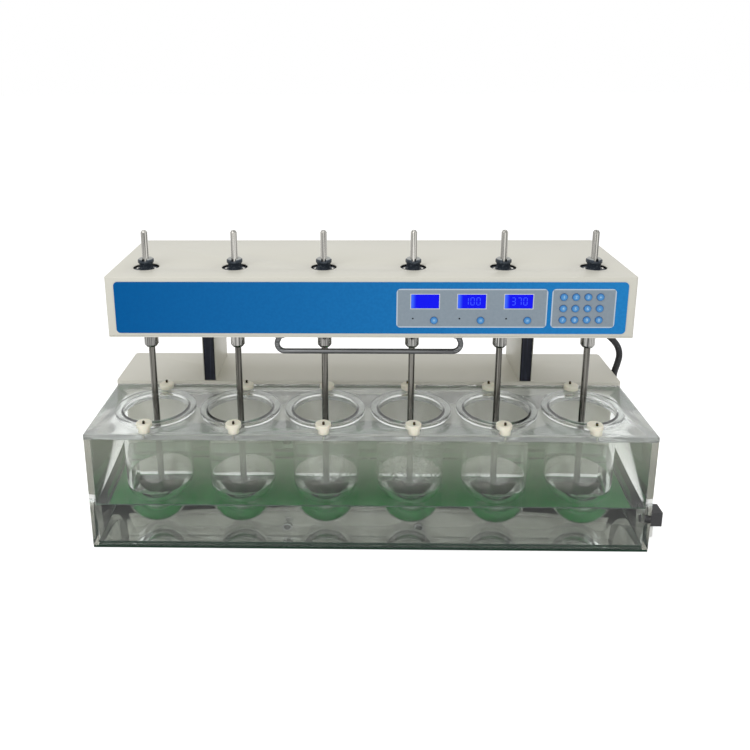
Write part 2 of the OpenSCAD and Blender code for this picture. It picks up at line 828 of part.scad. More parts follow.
bath_tank();
bath_cover();
glass_vessels();
drain_fitting();
base_cabinet();
cabinet_base();
columns();
column_strips();
circulation_heater();
mains_inlet();
cable_conduit();
head_cover();
head_floor();
lift_posts();
front_panel();
displays();
lift_handle();
drive_motor();
motor_pulley();
drive_belts();
spindle_bearings();
for (i = [1:stations]) {
    spindle(i);
    stirrer(i);
    front_cam(i);
    rear_cam(i);
}
for (i = [1:key_columns * key_rows])
    key(keypad_place(i));
for (i = [1:3]) key(function_key_place(i));
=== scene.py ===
# %% [markdown]
# # A six-station dissolution tester
# The machine tests how fast tablets dissolve. Six round-bottomed glass vessels hang in a clear, heated
# water bath. Six steel rods with paddles reach down into them from a drive head, which slides up on two
# columns behind the bath. The solid model gives every size and place, and this script dresses it: glass
# and water that bend light, paint, printed film, lit displays and worn steel.

# %% Load the solid model and remember its box
import math

import bmesh
import bpy
from mathutils import Matrix, Vector


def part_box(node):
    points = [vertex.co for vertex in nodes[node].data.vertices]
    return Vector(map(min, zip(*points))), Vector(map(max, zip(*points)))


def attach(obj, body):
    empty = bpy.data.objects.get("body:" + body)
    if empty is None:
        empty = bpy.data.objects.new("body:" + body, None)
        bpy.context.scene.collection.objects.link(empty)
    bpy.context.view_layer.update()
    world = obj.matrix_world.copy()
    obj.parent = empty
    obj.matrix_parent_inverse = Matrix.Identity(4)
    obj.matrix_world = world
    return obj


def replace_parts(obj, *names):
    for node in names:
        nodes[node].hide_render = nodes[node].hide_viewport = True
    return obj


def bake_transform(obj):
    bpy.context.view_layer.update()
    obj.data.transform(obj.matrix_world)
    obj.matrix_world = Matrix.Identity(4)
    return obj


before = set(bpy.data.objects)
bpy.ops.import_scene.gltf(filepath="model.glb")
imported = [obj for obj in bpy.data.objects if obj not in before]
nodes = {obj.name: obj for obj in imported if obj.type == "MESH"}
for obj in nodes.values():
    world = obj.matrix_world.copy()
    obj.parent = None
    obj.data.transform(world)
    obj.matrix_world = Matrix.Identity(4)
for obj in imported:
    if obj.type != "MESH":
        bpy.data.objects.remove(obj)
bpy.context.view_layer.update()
MM = 0.001

# %% [markdown]
# ## Camera
# The photograph was taken from a little above the head, almost straight on. A camera model was fitted to
# the corners of the bath and the head, and to the row of vessel rims. It gives the lens, the tilt and the
# eye's place. The picture's middle isn't the lens axis, because the photograph was cropped, so the
# camera's shift puts the axis back where it was.

# %% Camera at the photograph's angle
PICTURE, SENSOR = 750, 36
FOCAL_PIXELS = 754.84
AXIS_PIXEL = (337.69, 239.94)
EYE = Vector((-21.2, -1104.1, 753.8)) * MM
PITCH, YAW, ROLL = math.radians(14.17), math.radians(1.32), math.radians(-0.35)
GLASS_BOUNCES, CLEAR_BOUNCES = 24, 32
scene = bpy.context.scene


def put(name, data):
    """A new object in the scene."""
    thing = bpy.data.objects.new(name, data)
    scene.collection.objects.link(thing)
    return thing


lens = bpy.data.cameras.new("photo_camera")
lens.sensor_width = SENSOR
lens.lens = FOCAL_PIXELS / PICTURE * SENSOR
lens.shift_x = 0.5 - AXIS_PIXEL[0] / PICTURE
lens.shift_y = AXIS_PIXEL[1] / PICTURE - 0.5
lens.clip_start, lens.clip_end = 0.01, 60
camera = put("photo_camera", lens)
camera.matrix_world = (Matrix.Translation(EYE) @ Matrix.Rotation(YAW, 4, "Z")
                       @ Matrix.Rotation(math.pi / 2 - PITCH, 4, "X") @ Matrix.Rotation(ROLL, 4, "Z"))
scene.camera = camera
scene.view_settings.view_transform = "Standard"
scene.cycles.max_bounces = scene.cycles.transmission_bounces = GLASS_BOUNCES
scene.cycles.transparent_max_bounces = CLEAR_BOUNCES
print("lens", round(lens.lens, 2), "mm, shift", round(lens.shift_x, 3), round(lens.shift_y, 3))

# %% [markdown]
# ## Shader maths as expressions
# Node trees grow long when every sum is placed by hand. One small class stands for a socket and turns
# Python's operators into Math nodes, so a mask reads like the formula it is. One method adds any other
# node: its type, its settings, and what goes into its sockets.


# %% The socket class
class Wire:
    """A socket of a node tree that can be used in sums."""

    def __init__(self, finish, socket):
        self.finish, self.socket = finish, socket

    def maths(self, operation, *others):
        return self.finish.maths(operation, self, *others)

    def __add__(self, other):
        return self.maths("ADD", other)

    def __sub__(self, other):
        return self.maths("SUBTRACT", other)

    def __mul__(self, other):
        return self.maths("MULTIPLY", other)

    def __truediv__(self, other):
        return self.maths("DIVIDE", other)

    def __gt__(self, other):
        return self.maths("GREATER_THAN", other)

    def __lt__(self, other):
        return self.maths("LESS_THAN", other)

    def __abs__(self):
        return self.maths("ABSOLUTE")

    def __rsub__(self, other):
        return self.finish.maths("SUBTRACT", other, self)

    __radd__, __rmul__ = __add__, __mul__

    def least(self, other):
        return self.maths("MINIMUM", other)

    def most(self, other):
        return self.maths("MAXIMUM", other)

    def step(self, low, high):
        """0 below low, 1 above high and smooth between them."""
        settings = {"interpolation_type": "SMOOTHSTEP"}
        return self.finish.node("ShaderNodeMapRange", settings, {0: self, 1: low, 2: high, 3: 0.0, 4: 1.0})

    def wrap(self, pitch):
        """The distance from the nearest of many middles that lie a pitch apart."""
        return self.maths("WRAP", pitch / 2, -pitch / 2)


# %% The finish builder
class Finish:
    """A material with a Principled shader, built from expressions."""

    def __init__(self, name, **sockets):
        self.material = bpy.data.materials.new(name)
        self.material.use_nodes = True
        self.tree = self.material.node_tree
        self.shader = self.tree.nodes["Principled BSDF"]
        self.set(**sockets)

    def set(self, **sockets):
        for name, value in sockets.items():
            self.feed(self.shader.inputs[name.replace("_", " ")], value)
        return self

    def feed(self, socket, value):
        if isinstance(value, Wire):
            self.tree.links.new(value.socket, socket)
        elif socket.type == "RGBA" and len(value) == 3:
            socket.default_value = (*value, 1)
        else:
            socket.default_value = value

    def node(self, kind, settings=None, sockets=None, out=0):
        made = self.tree.nodes.new(kind)
        for name, value in (settings or {}).items():
            if name == "stops":
                ramp = made.color_ramp.elements
                while len(ramp) < len(value):
                    ramp.new(0.5)
                for element, (place, colour) in zip(ramp, value):
                    element.position, element.color = place, (*colour, 1)
            else:
                setattr(made, name, value)
        for key, value in (sockets or {}).items():
            self.feed(made.inputs[key], value)
        return Wire(self, made.outputs[out])

    def maths(self, operation, *values):
        return self.node("ShaderNodeMath", {"operation": operation}, dict(enumerate(values)))

    def place(self):
        """Object coordinates, which are the machine's own metres."""
        return self.node("ShaderNodeTexCoord", out="Object")

    def axes(self, vector=None):
        split = self.tree.nodes.new("ShaderNodeSeparateXYZ")
        self.feed(split.inputs[0], vector or self.place())
        return [Wire(self, split.outputs[k]) for k in range(3)]

    def millimetres(self):
        return [axis * 1000 for axis in self.axes()]

    def noise(self, scale, detail=3.0, stretch=(1, 1, 1), rough=0.5):
        moved = self.node("ShaderNodeMapping", {}, {"Vector": self.place(), "Scale": stretch})
        return self.node("ShaderNodeTexNoise", {}, {
            "Vector": moved, "Scale": scale, "Detail": detail, "Roughness": rough})

    def mix(self, share, a, b):
        return self.node("ShaderNodeMix", {"data_type": "RGBA"}, {0: share, 6: a, 7: b}, out=2)

    def bump(self, height, distance, strength=1.0):
        return self.node("ShaderNodeBump", {}, {"Height": height, "Distance": distance, "Strength": strength})


# %% Colours, clear sheet and dressing
def ink(red, green, blue):
    """A colour read as 0 to 255 screen values, as the linear light that Blender works in."""
    def linear(v):
        v /= 255
        return v / 12.92 if v <= 0.04045 else ((v + 0.055) / 1.055) ** 2.4
    return linear(red), linear(green), linear(blue)


def lit_through(finish, share=0.93):
    """Lets the lamps light what stands behind clear sheet, as they do through a real one."""
    finish.set(Alpha=1 - finish.node("ShaderNodeLightPath", out="Is Shadow Ray") * share)


def wear(finish, *names):
    for name in names:
        piece = nodes[name] if isinstance(name, str) else name
        piece.data.materials.clear()
        piece.data.materials.append(finish.material)


print("finish builder ready")

# %% [markdown]
# ## Studio
# The photograph has a plain white ground and broad, soft light from the front and above. A pale floor, a
# white world and three wide area lamps do the same. The ground is white to the rays that show it: the
# camera's own, and those that metal and glass pass on. Other rays meet a grey world and a plain pale floor,
# so the white ground puts hardly any light of its own on the machine. Nothing here is part of the machine.


# %% Floor, world and lamps
class Sky(Finish):
    """The world, built from the same expressions."""

    def __init__(self, name, **sockets):
        self.world = bpy.data.worlds.new(name)
        self.world.use_nodes = True
        self.tree = self.world.node_tree
        self.shader = self.tree.nodes["Background"]
        self.set(**sockets)


def sees_ground(finish):
    """1 for the rays that show the ground: the camera's own, and those that metal and glass pass on."""
    kinds = ("Is Camera Ray", "Is Glossy Ray", "Is Transmission Ray")
    straight, mirrored, passed = (finish.node("ShaderNodeLightPath", out=kind) for kind in kinds)
    return straight.most(mirrored).most(passed)


WHITE, BLACK = (1, 1, 1), (0, 0, 0)
SKY_GREY, FLOOR_PALE = (0.62, 0.62, 0.62), (0.88, 0.88, 0.88)
FLOOR_HALF, FLOOR_DROP, FLOOR_GLOW = 12, 0.5 * MM, 0.5
floor_finish = Finish("studio_floor", Base_Color=FLOOR_PALE, Roughness=0.9, Emission_Strength=FLOOR_GLOW)
floor_finish.set(Emission_Color=floor_finish.mix(sees_ground(floor_finish), BLACK, WHITE))
floor_mesh = bmesh.new()
bmesh.ops.create_grid(floor_mesh, x_segments=1, y_segments=1, size=FLOOR_HALF)
floor_data = bpy.data.meshes.new("studio_floor")
floor_mesh.to_mesh(floor_data)
floor_mesh.free()
floor = put("studio_floor", floor_data)
floor.location.z = -FLOOR_DROP
wear(floor_finish, floor)
sky = Sky("studio_world", Strength=1.0)
sky.set(Color=sky.mix(sees_ground(sky), SKY_GREY, WHITE))
scene.world = sky.world


def lamp(name, place, aim, size, watts):
    light = bpy.data.lights.new(name, "AREA")
    light.shape, light.size, light.size_y, light.energy = "RECTANGLE", size[0], size[1], watts
    holder = put(name, light)
    holder.location = place
    holder.rotation_euler = (Vector(aim) - Vector(place)).to_track_quat("-Z", "Y").to_euler()


lamp("key_lamp", (-1.1, -1.7, 2.1), (0, 0, 0.25), (1.6, 1.2), 20)
lamp("top_lamp", (0.3, 0.2, 2.4), (0, 0, 0.2), (2.2, 1.4), 9)
lamp("front_lamp", (0.5, -2.6, 0.7), (0, 0, 0.25), (2.4, 1.2), 6)
print("floor, world and lamps are up")

# %% [markdown]
# ## Conduit
# A black flexible conduit carries the wires from the head's floor down into a socket on the cabinet's
# right end. It is one smooth tube, so it is a curve with a round bevel, made a mesh. It rides on the stand.

# %% The conduit's route and tube
CONDUIT_D = 11 * MM
SAME_POINT = 1e-6
START = Vector((372, 140, 340)) * MM
END = Vector((443, 160, 140)) * MM
SHARES = [(0, 0, 0), (0.01, 0, 0.07), (0.11, 0.1, 0.165), (0.32, 0.35, 0.26), (0.6, 0.65, 0.345),
          (0.86, 0.85, 0.425), (1.04, 1, 0.505), (1.1, 1, 0.585), (1.07, 1, 0.665), (1.02, 1, 0.74),
          (1, 1, 0.82), (1, 1, 0.9), (1, 1, 1)]
corners = [Vector([START[k] + (END[k] - START[k]) * share[k] for k in range(3)]) for share in SHARES]


def smooth_route(points, steps):
    """Points on the smooth curve through the given ones."""
    route = []
    for k in range(len(points) - 1):
        a, b, c, d = (points[min(max(k + j, 0), len(points) - 1)] for j in (-1, 0, 1, 2))
        for s in range(steps):
            t = s / steps
            route.append(0.5 * (2 * b + (c - a) * t + (2 * a - 5 * b + 4 * c - d) * t ** 2
                                + (3 * b - a - 3 * c + d) * t ** 3))
    return route + [points[-1]]


def tube(name, route, diameter, sides):
    curve = bpy.data.curves.new(name, "CURVE")
    curve.dimensions, curve.bevel_depth, curve.use_fill_caps = "3D", diameter / 2, True
    curve.bevel_resolution = sides // 4
    line = curve.splines.new("POLY")
    line.points.add(len(route) - 1)
    for point, place in zip(line.points, route):
        point.co = (*place, 1)
    holder = bpy.data.objects.new(name, curve)
    mesh = bpy.data.meshes.new_from_object(holder)
    bpy.data.objects.remove(holder)
    work = bmesh.new()
    work.from_mesh(mesh)
    bmesh.ops.remove_doubles(work, verts=work.verts, dist=SAME_POINT)
    work.to_mesh(mesh)
    work.free()
    mesh.shade_smooth()
    return put(name, mesh)


route = smooth_route(corners, steps=8)
conduit_length = sum((b - a).length for a, b in zip(route, route[1:]))
conduit = tube("conduit_tube", route, CONDUIT_D, sides=24)
black_sleeve = Finish("black_sleeve", Roughness=0.55, Specular_IOR_Level=0.4)
weave = black_sleeve.noise(900, 2)
black_sleeve.set(Base_Color=black_sleeve.mix(weave, ink(17, 17, 20), ink(44, 44, 48)),
                 Normal=black_sleeve.bump(weave, 0.0003, 0.5))
wear(black_sleeve, conduit)
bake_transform(conduit)
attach(conduit, "stand")
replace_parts(conduit, "cable_conduit")
[tuple(p) for p in route]
print("conduit", round(conduit_length, 3), "m long")

# %% [markdown]
# ## Turned and softened pieces
# Two makers serve most of what follows. A turned piece is an outline of a few points spun about the
# upright axis. A softened piece is a copy of a solid whose sharp edges are bevelled a little, because
# folded sheet and sawn acrylic catch a thin line of light along each edge.


# %% Makers for turned and softened pieces
def settle(name, mesh_work, body, sharp=0.6):
    """Turns a bmesh into a smooth-shaded piece that rides on a body."""
    data = bpy.data.meshes.new(name)
    mesh_work.to_mesh(data)
    mesh_work.free()
    data.shade_smooth()
    data.set_sharp_from_angle(angle=sharp)
    piece = put(name, data)
    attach(piece, body)
    return piece


def arc(middle, radius, start, end, count):
    """Outline points on an arc, in millimetres and degrees."""
    turns = [math.radians(start + (end - start) * k / count) for k in range(count + 1)]
    return [(middle[0] + radius * math.cos(t), middle[1] + radius * math.sin(t)) for t in turns]


def turn(outline, steps=96, at=(0, 0), mesh_work=None):
    """Spins an outline of (radius, height) points in millimetres about the upright axis at a place."""
    work = mesh_work or bmesh.new()
    before = set(work.verts)
    line = [work.verts.new((r * MM, 0, z * MM)) for r, z in outline]
    sides = [work.edges.new(pair) for pair in zip(line, line[1:])]
    bmesh.ops.spin(work, geom=line + sides, cent=(0, 0, 0), axis=(0, 0, 1), angle=math.tau, steps=steps,
                   use_merge=True)
    made = [v for v in work.verts if v not in before]
    bmesh.ops.remove_doubles(work, verts=made, dist=SAME_POINT)
    made = [v for v in work.verts if v not in before]
    faces = list({f for v in made for f in v.link_faces})
    bmesh.ops.recalc_face_normals(work, faces=faces)
    bmesh.ops.translate(work, verts=made, vec=(at[0] * MM, at[1] * MM, 0))
    return work


def block(low, high, work=None):
    """A box between two corners, in millimetres."""
    work = work or bmesh.new()
    low, high = Vector(low) * MM, Vector(high) * MM
    made = bmesh.ops.create_cube(work, size=1)["verts"]
    bmesh.ops.scale(work, verts=made, vec=high - low)
    bmesh.ops.translate(work, verts=made, vec=(low + high) / 2)
    return work


def bevel(work, width, segments=2, edges=None, sharper_than=0.6):
    if edges is None:
        edges = [e for e in work.edges if e.is_manifold and e.calc_face_angle() > sharper_than]
    bmesh.ops.bevel(work, geom=edges, offset=width * MM, offset_type="OFFSET", segments=segments, profile=0.5,
                    affect="EDGES", clamp_overlap=True, material=-1)
    return work


def soften(node, name, body, width):
    """A copy of a solid with its sharp edges bevelled, in the solid's place."""
    work = bmesh.new()
    work.from_mesh(nodes[node].data)
    bmesh.ops.remove_doubles(work, verts=work.verts, dist=10 * SAME_POINT)
    bmesh.ops.dissolve_limit(work, angle_limit=0.02, verts=work.verts, edges=work.edges)
    bevel(work, width)
    piece = settle(name, work, body)
    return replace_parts(piece, node)


print("makers ready")

# %% [markdown]
# ## Glass vessels
# Each vessel is blown glass with a round bottom and a wide ground flange that rests on the bath's cover.
# One outline runs up the inside, over the rim and down the outside, and is spun into a closed wall, so the
# light bends on both faces as it does in real glass. The rim's edges are fire-polished, so they are round.

# %% Six vessels
PITCH_MM, STATIONS = 136, 6
station_x = [(i - (STATIONS - 1) / 2) * PITCH_MM for i in range(STATIONS)]
BORE_R, WALL, FLANGE_R = 51, 2.5, 63.5
POLISH, SEAT, FILLET, RIM_EASE = 0.7, 0.2, 1.5, 2
RIM_Z, PLATE_Z, ROUND_Z = 200.4, 194, 66.5
vessel_outline = (arc((0, ROUND_Z), BORE_R, -90, 0, 20) + [(BORE_R, RIM_Z - RIM_EASE)]
                  + arc((BORE_R + POLISH, RIM_Z - POLISH), POLISH, 180, 90, 4)
                  + arc((FLANGE_R - POLISH, RIM_Z - POLISH), POLISH, 90, 0, 4)
                  + arc((FLANGE_R - POLISH, PLATE_Z + SEAT + POLISH), POLISH, 0, -90, 4)
                  + arc((BORE_R + WALL + FILLET, PLATE_Z + SEAT - FILLET), FILLET, 90, 180, 4)
                  + arc((0, ROUND_Z), BORE_R + WALL, 0, -90, 20))
vessel_glass = Finish("vessel_glass", IOR=1.47, Transmission_Weight=0.995)
height = vessel_glass.millimetres()[2]
ground = height.step(PLATE_Z - 0.6, PLATE_Z + 0.4)
haze = vessel_glass.noise(40, 3)
blown = vessel_glass.mix(haze, (0.98, 0.99, 0.985), (0.995, 0.998, 0.996))
vessel_glass.set(Base_Color=vessel_glass.mix(ground, blown, (0.9, 0.92, 0.905)),
                 Roughness=ground * (haze * 0.12 + 0.1) + haze.step(0.55, 0.8) * 0.03)
lit_through(vessel_glass)
vessels = []
for i, x in enumerate(station_x, 1):
    vessel = settle(f"vessel_{i}", turn(vessel_outline, at=(x, 0)), "stand")
    wear(vessel_glass, vessel)
    vessels.append(vessel)
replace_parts(vessels[0], "glass_vessels")
print("vessels:", len(vessels))

# %% [markdown]
# ## Bath
# The bath is glued from clear acrylic sheet, so its floor and walls are one clear body: a block whose top is
# inset by the sheet's thickness and pushed down. A thin green mat lies loose under it. The air between
# mat and floor matters: seen steeply, through the water's surface, the mat shows green, but seen at a low
# angle the floor turns the light back like a mirror. That is why the photograph shows green above the
# waterline, and the vessels' round bottoms a second time, upside down, below it. The tank bends light less
# than real acrylic does, because its walls would otherwise mirror so much white ground that the green fades.

# %% Clear tank, mat and cover
bath_low, bath_high = (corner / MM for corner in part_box("bath_tank"))
SHEET, LIFT, GAP, TOP_GAP = 8, 3.6, 0.4, 0.15
tank_back, tank_top = bath_high.y - GAP, bath_high.z - TOP_GAP
tank = block((bath_low.x, bath_low.y, LIFT), (bath_high.x, tank_back, tank_top))
rim = max(tank.faces, key=lambda f: f.calc_center_median().z)
bmesh.ops.inset_region(tank, faces=[rim], thickness=SHEET * MM, use_even_offset=True)
pushed = bmesh.ops.extrude_discrete_faces(tank, faces=[rim])["faces"]
bmesh.ops.translate(tank, verts=pushed[0].verts, vec=(0, 0, (SHEET - tank_top) * MM))
bmesh.ops.recalc_face_normals(tank, faces=tank.faces)
bath_tank = settle("bath_tank_clear", bevel(tank, 0.6), "stand", sharp=0.5)
mat = block((bath_low.x + GAP, bath_low.y + GAP, 0), (bath_high.x - GAP, tank_back, LIFT - GAP))
bath_mat = settle("bath_mat", mat, "stand")
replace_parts(bath_tank, "bath_tank")
bath_cover = soften("bath_cover", "bath_cover_sheet", "stand", 0.7)
for corner in bath_cover.data.vertices:
    corner.co.y = min(corner.co.y, tank_back * MM)


SPLASH_X = 45


def patch(axis, middle, reach, core):
    """1 near a middle and 0 from a reach on. The core is the share of the reach that stays at 1."""
    return 1 - (abs(axis - middle) / reach).step(core, 1)


def acrylic(name, clear, dust, rough, index, sawn):
    """Clear sheet. What isn't clear in it is dust and fine scratches, and drops cling to the front.

    The last value says how dull the front face is, where a sheet's sawn edge shows.
    """
    finish = Finish(name, IOR=index, Transmission_Weight=clear)
    smear = finish.noise(14, 4, (1, 1, 0.35))
    x, y, z = finish.millimetres()
    splashed = patch(x, SPLASH_X, 170, 0.2) * patch(z, 140, 60, 0.2)
    beads = finish.noise(260, 2).step(0.56, 0.66) * splashed
    tint = finish.mix(smear, dust, (0.99, 0.996, 0.992))
    edge = (bath_low.y + 1 - y).step(0, 0.5) * sawn
    finish.set(Base_Color=finish.mix(edge, tint, (0.3, 0.33, 0.3)),
               Roughness=smear.step(0.5, 0.8) * 0.06 + beads * 0.1 + rough,
               Normal=finish.bump(beads, 0.0004, 0.6))
    lit_through(finish)
    return finish


wear(acrylic("tank_acrylic", clear=0.997, dust=(0.95, 0.968, 0.955), rough=0.0, index=1.22, sawn=0.0),
     bath_tank)
wear(acrylic("cover_acrylic", clear=0.82, dust=(0.8, 0.835, 0.805), rough=0.14, index=1.45, sawn=0.75),
     bath_cover)

MAT_SHADE_BAND = 1.5
green_mat = Finish("green_mat", Roughness=0.5, Specular_IOR_Level=0.06)
x, y, z = green_mat.millimetres()
cloud = green_mat.noise(9, 3)
# The mat's sides are painted darker: painted shade, where they stand in the shade under the tank.
side = (abs(x) - bath_high.x + MAT_SHADE_BAND).most(bath_low.y + MAT_SHADE_BAND - y).step(0, 0.2)
green = green_mat.mix(cloud, ink(0, 102, 31), ink(4, 124, 45))
green_mat.set(Base_Color=green_mat.mix(side, green, ink(34, 56, 44)))
wear(green_mat, bath_mat)
print("clear tank, mat and cover")

# %% [markdown]
# ## Bath water
# The bath is part filled. The water is a block with room cut out for the vessels' round bottoms. It reaches
# a hair into the acrylic and the glass, so that no film of air is left between them to bend the light.

# %% Water with room for the vessels
WATER_Z, LAP, ROOM_TOP = 73, 0.3, 93
water_work = block((bath_low.x + SHEET - LAP, bath_low.y + SHEET - LAP, SHEET - LAP),
                   (bath_high.x - SHEET + LAP, tank_back - SHEET + LAP, WATER_Z))
bath_water = settle("bath_water", water_work, "stand")
room = bmesh.new()
room_outline = (arc((0, ROUND_Z), BORE_R + WALL - LAP, -90, 0, 20)
                + [(BORE_R + WALL - LAP, ROOM_TOP), (0, ROOM_TOP)])
for x in station_x:
    turn(room_outline, at=(x, 0), mesh_work=room)
room_data = bpy.data.meshes.new("vessel_room")
room.to_mesh(room_data)
room.free()
cutter = put("vessel_room", room_data)
cut = bath_water.modifiers.new("vessel_room", "BOOLEAN")
cut.operation, cut.object, cut.solver = "DIFFERENCE", cutter, "EXACT"
bpy.context.view_layer.update()
cut_water = bath_water.evaluated_get(bpy.context.evaluated_depsgraph_get())
cut_data = bpy.data.meshes.new_from_object(cut_water)
bath_water.modifiers.clear()
bath_water.data = cut_data
bpy.data.objects.remove(cutter)
cut_data.shade_smooth()
cut_data.set_sharp_from_angle(angle=0.5)
water = Finish("bath_water", Base_Color=(0.98, 0.995, 0.985), Roughness=0.0, IOR=1.333,
               Transmission_Weight=1.0)
ripple = water.noise(24, 2)
water.set(Normal=water.bump(ripple, 0.0006, 0.25))
lit_through(water)
wear(water, bath_water)
print("water faces:", len(cut_data.polygons))

# %% [markdown]
# ## Lines in the bath
# Two dark lines run round the tank: scale that dried at the water's edge, and the glue joint between the
# floor and the walls. Each is a thin upright strip along the inner faces of the walls: a block whose top and
# bottom are inset and cut out, with the two openings bridged.


# %% Scale and glue strips
def rim_strip(name, low_z, high_z, reach):
    strip = block((bath_low.x + SHEET - reach, bath_low.y + SHEET - reach, low_z),
                  (bath_high.x - SHEET + reach, tank_back - SHEET + reach, high_z))
    ends = [f for f in strip.faces if abs(f.normal.z) > 0.5]
    bmesh.ops.inset_individual(strip, faces=ends, thickness=2 * reach * MM, use_even_offset=True)
    openings = [e for f in ends for e in f.edges]
    bmesh.ops.delete(strip, geom=ends, context="FACES_ONLY")
    bmesh.ops.bridge_loops(strip, edges=openings)
    bmesh.ops.recalc_face_normals(strip, faces=strip.faces)
    return settle(name, strip, "stand")


scale_strip = rim_strip("waterline_scale", WATER_Z - 1.4, WATER_Z + 0.3, 0.2)
glue_strip = rim_strip("floor_joint", LIFT + 0.2, SHEET + 0.3, 0.15)
strip_inks = ((scale_strip, ink(44, 66, 54), ink(86, 106, 92)),
              (glue_strip, ink(20, 40, 30), ink(44, 66, 54)))
for strip, dark, light in strip_inks:
    line_ink = Finish(strip.name, Roughness=0.7)
    line_ink.set(Base_Color=line_ink.mix(line_ink.noise(130, 4), dark, light))
    wear(line_ink, strip)
print("strips:", len(scale_strip.data.polygons), len(glue_strip.data.polygons), "faces")

# %% [markdown]
# ## Mist
# Warm water steams up the front wall from inside. The mist is thickest under the cover and gone at the
# water's edge, so the green mat shows most clearly just above that edge. A few splashes have dried in the
# middle. A thin block just behind the wall carries it, because an alpha that changes over one surface is
# simpler than a second layer in the wall's own finish.

# %% Mist on the front wall
MIST_TOP, MIST_T, MIST_GAP, MIST_END = 185, 0.15, 0.1, 0.5
mist_front = bath_low.y + SHEET + MIST_GAP
mist_work = block((bath_low.x + SHEET + MIST_END, mist_front, WATER_Z + 1),
                  (bath_high.x - SHEET - MIST_END, mist_front + MIST_T, MIST_TOP))
mist = settle("wall_mist", mist_work, "stand")
mist_film = Finish("wall_mist", Roughness=0.8, Specular_IOR_Level=0.1)
x, y, z = mist_film.millimetres()
drift, drop_grain = mist_film.noise(11, 4, (1, 1, 0.6)), mist_film.noise(330, 3)
splashed = patch(x, SPLASH_X, 120, 0.1) * patch(z, 145, 34, 0.2)
mist_share = (z - WATER_Z).step(10, 115) * (drift * 0.2 + 0.2)
mist_film.set(Base_Color=mist_film.mix(drift, ink(150, 156, 139), ink(164, 169, 154)),
              Alpha=mist_share + drop_grain.step(0.54, 0.7) * splashed * 0.3)
wear(mist_film, mist)
print("mist film on the front wall")

# %% [markdown]
# ## Painted sheet
# Head, cabinet and columns are folded sheet with a beige powder coat. Powder coat has a fine orange-peel
# surface, so a small noise bends the highlights. A wide noise keeps the big faces from looking flat, and
# the faces are a shade darker near the bench, where splashes dry on them.


# %% Beige paint on softened sheet
def beige_coat(name):
    """Powder coat, with its colour left open for marks."""
    finish = Finish(name, Specular_IOR_Level=0.4)
    peel, cloud = finish.noise(620, 2), finish.noise(6, 4)
    colour = finish.mix(cloud, ink(206, 204, 192), ink(215, 213, 202))
    splash = finish.noise(55, 4).step(0.55, 0.75) * (1 - finish.millimetres()[2].step(5, 90))
    colour = finish.mix(splash * 0.5, colour, ink(168, 163, 147))
    finish.set(Roughness=cloud * 0.14 + 0.36, Normal=finish.bump(peel, 0.00012, 0.35))
    return finish, colour


beige_paint, colour = beige_coat("beige_paint")
beige_paint.set(Base_Color=colour)
FOOT_TOP = 9.9
SHEET_METAL = (("head_cover", "head", 0.9), ("base_cabinet", "stand", 0.9), ("columns", "stand", 0.7))
for node, body, width in SHEET_METAL:
    wear(beige_paint, soften(node, node + "_sheet", body, width))
wear(beige_paint, "head_floor")

base_paint, colour = beige_coat("base_paint")
rubber_foot = 1 - base_paint.millimetres()[2].step(FOOT_TOP - 0.2, FOOT_TOP)
base_paint.set(Base_Color=base_paint.mix(rubber_foot, colour, ink(30, 30, 31)))
wear(base_paint, "cabinet_base")
print("painted sheet")

# %% [markdown]
# ## Front panel
# A printed film covers the head's front: blue, painted a little lighter towards the right end as a painted
# highlight, with two grey fields that carry the displays and the keys. The fields stand a hair proud of the
# film, so the depth tells them apart, and the distance to their edges gives the pale line round them, a
# painted highlight. A pale rim round each display is a painted highlight too. The film isn't quite flat.

# %% Printed film
PANEL_HALF, PANEL_Z, FIELD_HALF, FIELD_Y = 375, 386.5, 29.75, -57.55
FIELDS = ((149.5, 109.5), (311.25, 46.25))
DISPLAYS_END, GLOW_W = 262, 8
LCD_X, LCD_Z, LCD_PITCH, LCD_HALF = 149.5, 397, 68, (20.25, 10.5)
LAMP_X, LAMP_Z, LAMP_R = -17.4, 370.7, 1.3


def box_distance(across, up, half_w, half_h):
    """How far a point is outside a rectangle. It is negative inside."""
    return (abs(across) - half_w).most(abs(up) - half_h)


def beside_display(x):
    """The distance along the panel from the middle of the nearest display."""
    return (x - LCD_X).wrap(LCD_PITCH)


film = Finish("panel_film", Specular_IOR_Level=0.05)
x, y, z = film.millimetres()
wave, grain = film.noise(5, 2), film.noise(240, 2)
# The blue is painted lighter towards the right end: a painted highlight.
blue = film.mix((x + PANEL_HALF) / (2 * PANEL_HALF), ink(0, 90, 154), ink(38, 132, 200))
blue = film.mix(grain.step(0.3, 0.7) * 0.12, blue, ink(0, 62, 126))
display_edge, key_edge = (box_distance(x - middle, z - PANEL_Z, half, FIELD_HALF) for middle, half in FIELDS)
near_edge = display_edge.least(key_edge)
grey = film.mix(grain, ink(134, 147, 158), ink(146, 158, 168))
# The pale line round each field is a painted highlight along its edge.
grey = film.mix(near_edge.step(-2.2, -1.2), grey, ink(190, 204, 216))
beside, by_displays = beside_display(x), x < DISPLAYS_END
# The pale rim round each display is a painted highlight too.
pale = (box_distance(beside, z - LCD_Z, *LCD_HALF) < 1.3) * by_displays
grey = film.mix(pale, grey, ink(205, 210, 216))
across, up = beside - LAMP_X, z - LAMP_Z
lamp_dot = ((across * across + up * up) < LAMP_R ** 2) * by_displays
grey = film.mix(lamp_dot, grey, ink(22, 26, 30))
film.set(Base_Color=film.mix(y < FIELD_Y, blue, grey), Roughness=wave * 0.15 + 0.24,
         Normal=film.bump(wave, 0.004, 0.12))
wear(film, "front_panel")

